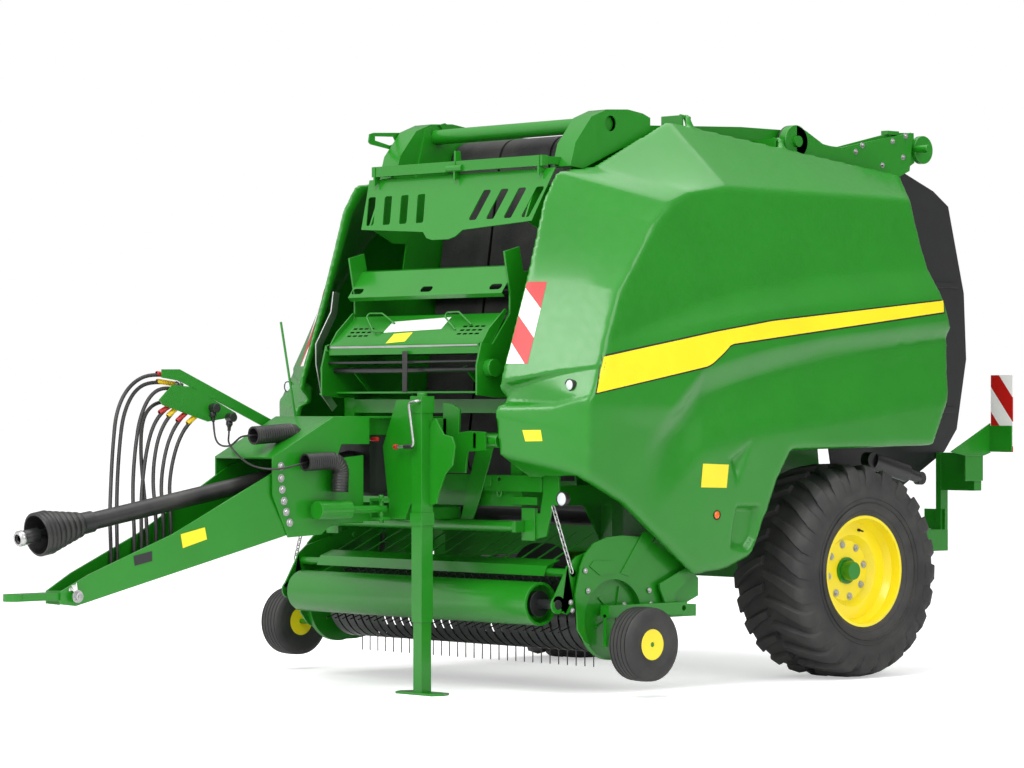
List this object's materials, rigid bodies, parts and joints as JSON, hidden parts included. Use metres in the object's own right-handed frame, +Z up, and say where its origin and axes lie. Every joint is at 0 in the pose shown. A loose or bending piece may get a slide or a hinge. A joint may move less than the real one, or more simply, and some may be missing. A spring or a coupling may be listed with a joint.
{
  "type": "round baler",
  "caption": "Towed variable-chamber round baler with pickup, press roller, lifting tailgate, gull-wing side panels, drawbar with jack and drive shaft.",
  "frame": {"origin": "on the ground, under the middle of the whole machine's length and width", "axes": "+X to the machine's left, +Y towards the tailgate, away from the drawbar, +Z up"},
  "size_m": [2.875, 6.105, 2.9611],
  "materials": {
    "green": "gloss",
    "yellow": "gloss",
    "black": "satin",
    "panel": "gloss",
    "guard_plastic": "matte",
    "belt": "matte",
    "tyre": "matte",
    "zinc": "satin",
    "chrome": "gloss",
    "board": "satin",
    "hose": "satin"
  },
  "bodies": {
    "frame": {"axle": "green", "drawbar": "green", "front_belts": "belt", "front_members": "green", "front_rollers": "black", "gearbox": "black", "headstock": "green", "jack_housing": "green", "left_chamber_side": "green", "left_marker_board": "board", "main_frame": "green", "net_box": "green", "panel_hinges": "green", "pickup_pivots": "green", "pto_guard": "guard_plastic", "rear_brackets": "green", "right_chamber_side": "green", "right_marker_board": "board", "slotted_guard": "green", "top_tube": "green", "tow_eye": "green"},
    "left_wheel": {"left_tyre": "tyre", "left_rim": "yellow", "left_hub": "green"},
    "left_panel": {"left_side_panel": "panel"},
    "left_barrel": {"left_cylinder_barrel": "black"},
    "left_ram": {"left_cylinder_rod": "chrome"},
    "left_gauge_wheel": {"left_gauge_tyre": "tyre", "left_gauge_rim": "yellow"},
    "right_wheel": {"right_tyre": "tyre", "right_rim": "yellow", "right_hub": "green"},
    "right_panel": {"right_side_panel": "panel"},
    "right_barrel": {"right_cylinder_barrel": "black"},
    "right_ram": {"right_cylinder_rod": "chrome"},
    "right_gauge_wheel": {"right_gauge_tyre": "tyre", "right_gauge_rim": "yellow"},
    "pickup": {"pickup_frame": "green", "pickup_bands": "black"},
    "reel": {"pickup_reel": "black"},
    "windguard": {"windguard": "green"},
    "press_roller": {"press_roller": "green"},
    "feed_rotor": {"feed_rotor": "black"},
    "tailgate": {"left_tailgate_side": "black", "right_tailgate_side": "black", "tailgate_back": "black"},
    "jack_leg": {"jack_leg": "green"},
    "net_cover": {"net_cover": "green"},
    "pto_shaft": {"pto_shaft": "zinc"}
  },
  "joints": [
    {"name": "left_wheel_spin", "type": "hinge", "parent": "frame", "child": "left_wheel", "pos_m": [1.02, 1.535, 0.565], "axis": [1, 0, 0], "continuous": true},
    {"name": "left_panel_lift", "type": "hinge", "parent": "frame", "child": "left_panel", "pos_m": [0.752, 0.59, 2.95], "axis": [0, -0.9924, 0.1231], "range_deg": [0, 50]},
    {"name": "left_gauge_spin", "type": "hinge", "parent": "pickup", "child": "left_gauge_wheel", "pos_m": [1.36, -0.225, 0.264], "axis": [1, 0, 0], "continuous": true},
    {"name": "right_wheel_spin", "type": "hinge", "parent": "frame", "child": "right_wheel", "pos_m": [-1.02, 1.535, 0.565], "axis": [1, 0, 0], "continuous": true},
    {"name": "right_panel_lift", "type": "hinge", "parent": "frame", "child": "right_panel", "pos_m": [-0.752, 0.59, 2.95], "axis": [0, 0.9924, -0.1231], "range_deg": [0, 50]},
    {"name": "right_gauge_spin", "type": "hinge", "parent": "pickup", "child": "right_gauge_wheel", "pos_m": [-1.36, -0.225, 0.264], "axis": [1, 0, 0], "continuous": true},
    {"name": "pickup_lift", "type": "hinge", "parent": "frame", "child": "pickup", "pos_m": [0, 0.355, 0.52], "axis": [-1, 0, 0], "range_deg": [-7, 2]},
    {"name": "reel_spin", "type": "hinge", "parent": "pickup", "child": "reel", "pos_m": [0, -0.125, 0.385], "axis": [1, 0, 0], "continuous": true},
    {"name": "windguard_lift", "type": "hinge", "parent": "pickup", "child": "windguard", "pos_m": [0, -0.065, 0.735], "axis": [-1, 0, 0], "range_deg": [0, 10]},
    {"name": "press_roller_spin", "type": "hinge", "parent": "windguard", "child": "press_roller", "pos_m": [0, -0.515, 0.455], "axis": [1, 0, 0], "continuous": true},
    {"name": "rotor_spin", "type": "hinge", "parent": "frame", "child": "feed_rotor", "pos_m": [0, 0.355, 0.52], "axis": [1, 0, 0], "continuous": true},
    {"name": "tailgate_lift", "type": "hinge", "parent": "frame", "child": "tailgate", "pos_m": [0, 1.585, 2.86], "axis": [1, 0, 0], "range_deg": [0, 60]},
    {"name": "left_barrel_swing", "type": "hinge", "parent": "frame", "child": "left_barrel", "pos_m": [0.722, 1.0213, 1.3739], "axis": [1, 0, 0], "range_deg": [0, 1.64]},
    {"name": "left_ram_slide", "type": "slide", "parent": "left_barrel", "child": "left_ram", "axis": [0, 0.4895, 0.872], "range_m": [0, 0.2372]},
    {"name": "right_barrel_swing", "type": "hinge", "parent": "frame", "child": "right_barrel", "pos_m": [-0.722, 1.0213, 1.3739], "axis": [1, 0, 0], "range_deg": [0, 1.64]},
    {"name": "right_ram_slide", "type": "slide", "parent": "right_barrel", "child": "right_ram", "axis": [0, 0.4895, 0.872], "range_m": [0, 0.2372]},
    {"name": "jack_lift", "type": "slide", "parent": "frame", "child": "jack_leg", "axis": [0, 0, 1], "range_m": [0, 0.3]},
    {"name": "net_cover_open", "type": "hinge", "parent": "frame", "child": "net_cover", "pos_m": [0, -0.61, 1.74], "axis": [1, 0, 0], "range_deg": [0, 70]},
    {"name": "pto_spin", "type": "hinge", "parent": "frame", "child": "pto_shaft", "pos_m": [0, -2.985, 0.812], "axis": [0, 0.9848, 0.1738], "continuous": true}
  ],
  "couplings": [
    {"joint": "left_barrel_swing", "follows": "tailgate_lift", "ratio": 0.026},
    {"joint": "left_ram_slide", "follows": "tailgate_lift", "m_per_rad": 0.226},
    {"joint": "right_barrel_swing", "follows": "tailgate_lift", "ratio": 0.026},
    {"joint": "right_ram_slide", "follows": "tailgate_lift", "m_per_rad": 0.226}
  ]
}
